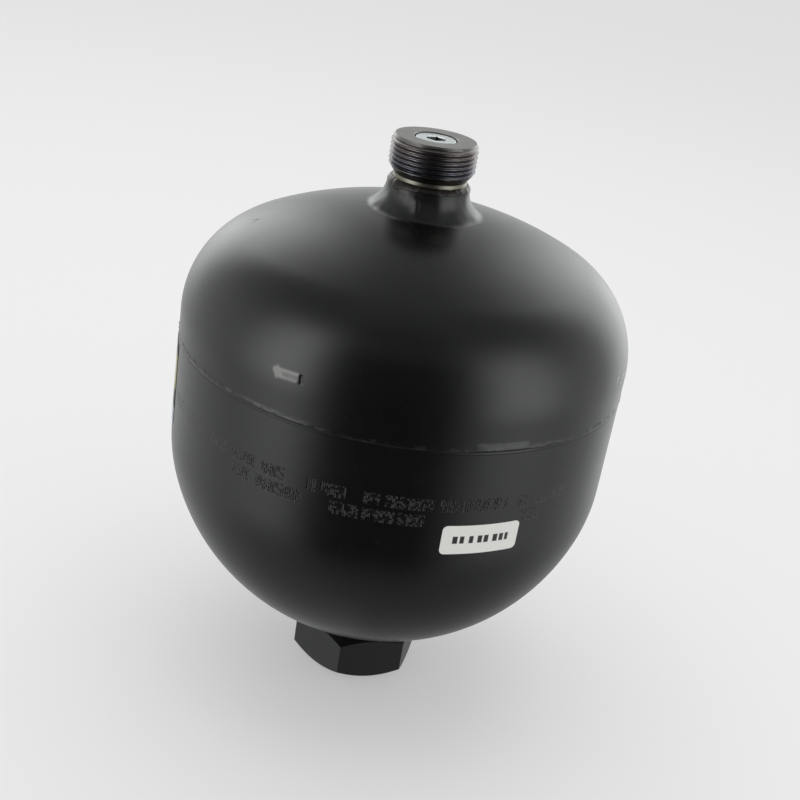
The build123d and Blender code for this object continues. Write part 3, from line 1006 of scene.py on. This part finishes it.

# %% [markdown]
# ## Tempered steel
# The stub was left bare, and the heat of welding ran colours up it: straw by the weld, then brown, a
# blue-grey oxide where the thread begins, and a plum brown that fades to plain steel at the end. The
# colours follow the height through a ramp, and noise bends their edges, because heat spreads unevenly.
# The ramp also paints light: its bright stop on the upper flare is a painted highlight, and its
# darker stop at the weld is painted shade.

# %% Temper the stub
temper = material("tempered_steel")
place = temper.place()
cloud = temper.noise(place, 260, 3)
turning = temper.noise(place, 2400, 2)
stub_height_share = (temper.axes(place)[2] - stub_base) * (1 / (port_top - stub_base)) + (cloud - 0.5) * 0.16
# Besides heat colours, the stops hold painted light: the bright stop at 0.12 is a painted highlight on the
# upper flare, and the darker stop at 0.00 is painted shade by the weld.
temper_tints_and_painted_light = [
    (0.00, (0.11, 0.102, 0.084)),
    (0.12, (0.19, 0.180, 0.150)),
    (0.21, (0.15, 0.141, 0.117)),
    (0.34, (0.105, 0.110, 0.130)),
    (0.62, (0.145, 0.137, 0.147)),
    (0.84, (0.185, 0.163, 0.162)),
    (1.00, (0.172, 0.170, 0.164)),
]
temper_tint_and_painted_light = temper.node("ShaderNodeValToRGB", {"stops": temper_tints_and_painted_light}, {"Fac": stub_height_share})
temper.coat(temper_tint_and_painted_light, 0.25 + cloud * 0.16, turning, 0.01 * MM, metallic=1.0)

# %% [markdown]
# ## Scaled steel
# The lip got hotter still, so it grew a skin of dark, uneven scale. It is the same steel, but darker
# and a little less of a metal, and one noise drives tone, roughness and relief, as crusts of scale do.

# %% Scale the lip
scaled = material("scaled_steel")
cloud = scaled.noise(scaled.place(), 420, 4, 0.6)
crust = scaled.mix(cloud, colour(0.015, 0.0132, 0.0128), colour(0.045, 0.0405, 0.039))
scaled.coat(crust, 0.24 + cloud * 0.2, cloud, 0.08 * MM, metallic=0.8)

# %% [markdown]
# ## Bright plate, copper and machined steel
# Zinc plate is pale and slightly milky. Down in the socket it is darkened as painted shade. The seal
# is soft copper. The parts inside are plain turned steel with a film of oil. Each has its own fine
# grain, so none of them is one flat colour.

# %% Mix the bare metals


def metal(name, light, dark, roughness, scale, relief):
    bare = material(name)
    place = bare.place()
    cloud = bare.noise(place, scale, 4, 0.6)
    grain = bare.noise(place, scale * 9, 2)
    bare.tone = bare.mix(cloud, colour(*dark), colour(*light))
    bare.coat(bare.tone, roughness + cloud * 0.12, grain, relief, metallic=1.0)
    return bare


zinc = metal("bright_zinc", (0.74, 0.77, 0.78), (0.52, 0.55, 0.57), 0.28, 620, 0.008 * MM)
# Painted shade: the zinc turns dark down in the socket, where its walls shade each other.
socket_painted_shade = zinc.step(zinc.axes(zinc.place())[2], head_top - 0.55 * MM, head_top - 0.08 * MM, 1, 0)
zinc.feed(zinc.shader["Base Color"], zinc.mix(socket_painted_shade, zinc.tone, colour(0.040, 0.048, 0.046)))
copper = metal("soft_copper", (0.72, 0.36, 0.24), (0.52, 0.25, 0.16), 0.3, 400, 0.01 * MM)
steel = metal("machined_steel", (0.55, 0.55, 0.54), (0.38, 0.38, 0.385), 0.25, 300, 0.01 * MM)

# %% [markdown]
# ## Rubber
# Moulded nitrile is matt and nearly black, with a bloom of talc in broad patches. One plain dark grey
# would look like paint beside it.

# %% Mix the rubber
rubber = material("moulded_nitrile")
place = rubber.place()
bloom = rubber.noise(place, 60, 5, 0.65)
talc = rubber.mix(bloom, grey(0.012), colour(0.05, 0.049, 0.047))
rubber.coat(talc, 0.62 + bloom * 0.2, rubber.noise(place, 1500, 2), 0.02 * MM)

# %% [markdown]
# ## Label film
# White satin film carries a row of plain dark blocks in place of print, and the side label carries
# four plain fields of colour. An image could be laid on through a UV map, but shapes this simple are
# worked out from how far a point is along the label, and how high.

# %% Print the white label


def across_label(finish, angle):
    """Distance along a label from its middle, and height, of a point on it."""
    x, y, z = finish.axes(finish.place())
    return x * cos(radians(angle)) + y * sin(radians(angle)), z


white = material("white_film")
along, height = across_label(white, pressure_angle)
smudge = white.noise(white.place(), 300, 4, 0.6)
bars = [(-9.3, -7.7), (-7.0, -5.6), (-4.0, -2.6), (-1.2, 0.3), (0.9, 2.4), (3.9, 5.5), (6.1, 7.5), (8.1, 9.2)]
ink = 0.0
for start, end in bars:
    ink = white.band(along, start * MM, end * MM, 0.12 * MM) + ink
ink = ink * white.band(height, pressure_middle - 1.25 * MM, pressure_middle + 1.25 * MM, 0.12 * MM)
paper = white.mix(smudge, colour(0.80, 0.80, 0.765), colour(0.88, 0.88, 0.845))
white.coat(white.mix(ink, paper, colour(0.02, 0.02, 0.022)), 0.45 + smudge * 0.12, smudge, 0.02 * MM)

# %% Print the side label
khaki = material("khaki_film")
along, height = across_label(khaki, side_angle)
smudge = khaki.noise(khaki.place(), 220, 4, 0.6)
field = khaki.mix(smudge, colour(0.36, 0.33, 0.17), colour(0.45, 0.42, 0.23))
dark_band = khaki.step(height, seam_z - 7.4 * MM, seam_z - 7.0 * MM)
dark_band = dark_band + khaki.band(height, seam_z - 26 * MM, seam_z - 19.6 * MM, 0.2 * MM)
pale_band = khaki.step(height, seam_z - 26.0 * MM, seam_z - 25.6 * MM, 1, 0)
field = khaki.mix(dark_band, field, colour(0.05, 0.05, 0.047))
field = khaki.mix(pale_band, field, colour(0.50, 0.55, 0.62))
khaki.coat(field, 0.34 + smudge * 0.12, smudge, 0.02 * MM)

# %% [markdown]
# ## Put the pieces on their bodies
# Each new piece takes its finish, rides the body that carries it and stands for the solid it replaces.
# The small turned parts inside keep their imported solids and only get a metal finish.

# %% Dress and hang every piece


def dress(piece, finish):
    piece.data.materials.clear()
    piece.data.materials.append(finish.material)


pieces = [
    (lower_shell, shell_paint, "vessel", "lower_shell", "black_paint"),
    (upper_shell, shell_paint, "vessel", "upper_shell", "black_paint"),
    (bead, shell_paint, "vessel", "equator_weld", "black_paint"),
    (stub, temper, "vessel", "gas_port", "tempered_steel"),
    (lip, scaled, "vessel", "gas_port_weld", "tempered_steel"),
    (screw, zinc, "screw", "charging_screw", "zinc_plate"),
    (port, port_paint, "vessel", "fluid_port", "black_paint"),
    (port_weld, port_paint, "vessel", "fluid_port_weld", "black_paint"),
    (diaphragm, rubber, "vessel", "diaphragm", "nitrile_rubber"),
    (pressure_label, white, "vessel", "pressure_label", "white_label"),
    (side_label, khaki, "vessel", "side_label", "yellow_label"),
]
for piece, finish, body, node, slot in pieces:
    dress(piece, finish)
    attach(piece, body)
    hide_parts(node)
for node, finish in [("charging_screw_seal", copper), ("closing_button", steel), ("clamp_ring", steel)]:
    dress(frame["nodes"][node], finish)
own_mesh(diaphragm)
print(len(pieces), "pieces dressed")

# %% [markdown]
# ## The floor
# The vessel stands on plain pale paper. White paper under a strong lamp would clip, so the camera sees
# part of its tone as the paper's own light, which is even, and only the rest takes the soft shadow.

# %% Lay the floor
bpy.ops.object.select_all(action="DESELECT")
bpy.ops.mesh.primitive_plane_add(size=8)
floor_plane = bpy.context.object
floor_plane.name = "studio_floor"
pale = material("pale_floor")
floor_tone = 0.865
floor_evenness = 0.41
in_camera = pale.node("ShaderNodeLightPath", output="Is Camera Ray")
even_share = floor_tone * floor_evenness
pale.feed(pale.shader["Base Color"], pale.mix(in_camera, grey(floor_tone), grey(floor_tone - even_share)))
pale.feed(pale.shader["Roughness"], 0.9)
pale.feed(pale.shader["Specular IOR Level"], 0.0)
pale.feed(pale.shader["Emission Color"], pale.mix(in_camera, grey(0), grey(even_share)))
pale.feed(pale.shader["Emission Strength"], 1.0)
floor_plane.data.materials.append(pale.material)
floor_plane.visible_glossy = False
print(f"floor tone {floor_tone}, of which {even_share:.3f} is even")

# %% [markdown]
# ## The light tent
# Black gloss shows its surroundings more than itself, so the studio is what draws the form. Lamps
# behind cloth could do it, but a sky with soft edges has no noise. It is pale to the camera and even
# to matt surfaces. Glossy ones see pale walls, four soft panels and a dark gap in front.

# %% Measure directions in the tent
world = bpy.data.worlds.new("light_tent")
world.use_nodes = True
bpy.context.scene.world = world
tent = Finish(world.node_tree)
toward = tent.node("ShaderNodeTexCoord", output="Generated")
right, back, up = tent.axes(toward)
bearing = tent.maths("ARCTAN2", right, 0 - back)
aside = tent.maths("ABSOLUTE", bearing)
left = 0 - bearing


def from_to(value, start, end, before=0.0, after=1.0):
    """Changes smoothly from one amount to another between two angles, in degrees."""
    return tent.step(value, radians(start), radians(end), before, after)


def rising(low, high, before=0.0, after=1.0):
    """Changes smoothly from one amount to another between two elevations, in degrees."""
    return tent.step(up, sin(radians(low)), sin(radians(high)), before, after)


# %% Hang the walls and panels
walls = rising(10, 82, 0.88, 0.33) * rising(-75, -5, 0.28, 1.0)
low_left = rising(-40, -15, 1, 0) * from_to(bearing, -60, 60, 0.3, 0.0)
panels = [
    (2.1, left, (27, 50, 52, 88), (-50, 2, 28, 62)),
    (1.45, bearing, (32, 62, 66, 96), (-46, 4, 26, 60)),
    (1.8, left, (122, 148, 154, 170), (-18, 14, 24, 80)),
    (1.4, bearing, (114, 142, 152, 172), (-36, 8, 26, 80)),
]
panel_light = 0.0
for power, turn, sides, heights in panels:
    wide = from_to(turn, sides[0], sides[1]) * from_to(turn, sides[2], sides[3], 1, 0)
    high = rising(heights[0], heights[1]) * rising(heights[2], heights[3], 1, 0)
    panel_light = power * (wide * high) + panel_light
gap = from_to(aside, 22, 54, 1, 0) * rising(-80, -35) * rising(28, 55, 1, 0.55) * rising(66, 86, 1, 0.2)
glow = (walls * (1 + low_left) + panel_light) * (1 - 0.92 * gap)
print(len(panels), "panels hung")

# %% Show each kind of ray its own sky
ray = tent.node("ShaderNodeLightPath").socket.node.outputs
is_camera = Signal(tent, ray["Is Camera Ray"])
is_camera = tent.maths("MAXIMUM", is_camera, Signal(tent, ray["Is Transmission Ray"]))
is_glossy = Signal(tent, ray["Is Glossy Ray"])
even = 0.78 - 0.25 * gap
seen = 0.85
strength = is_glossy * glow + (1 - is_glossy) * (is_camera * seen + (1 - is_camera) * even)
sky = world.node_tree.nodes["Background"].inputs
tent.feed(sky["Color"], tent.mix(is_glossy, grey(1), colour(0.975, 1.0, 0.985)))
tent.feed(sky["Strength"], strength)
print(f"world: {len(world.node_tree.nodes)} nodes")

# %% [markdown]
# ## The lamp
# One large lamp overhead gives the soft shadow under the vessel. A small one would draw a hard edge.

# %% Light the top
bpy.ops.object.light_add(type="AREA", location=(-0.1, 0.15, 1.2))
overhead = bpy.context.object
overhead.name = "overhead_softbox"
overhead.data.shape = "SQUARE"
overhead.data.size = 1.2
overhead.data.energy = 5
overhead.visible_glossy = False
print(f"lamp: {overhead.data.size:.1f} m square, {overhead.data.energy:.0f} W")

# %% [markdown]
# ## The camera
# The camera looks down on the shoulder of the vessel from in front, rolled a little, so the vessel
# leans in the frame. A Track To constraint would aim it, but three turns say plainly how it is held:
# rolled about its own view, tilted up from straight down, and swung round the vertical.

# %% Place the camera
bpy.ops.object.camera_add(location=(0, -382.34 * MM, 281.18 * MM))
camera = bpy.context.object
camera.data.sensor_width = 36
camera.data.lens = 54.693
swing = Matrix.Rotation(radians(-0.324), 4, "Z")
tilt = Matrix.Rotation(radians(90 - 24.718), 4, "X")
roll = Matrix.Rotation(radians(9.39), 4, "Z")
camera.matrix_world = Matrix.Translation(camera.location) @ swing @ tilt @ roll
camera.data.clip_start = 10 * MM
bpy.context.scene.camera = camera
bpy.context.scene.view_settings.view_transform = "Standard"
print(f"camera: {camera.data.lens:.1f} mm lens, {camera.location.length:.3f} m from the foot of the vessel")
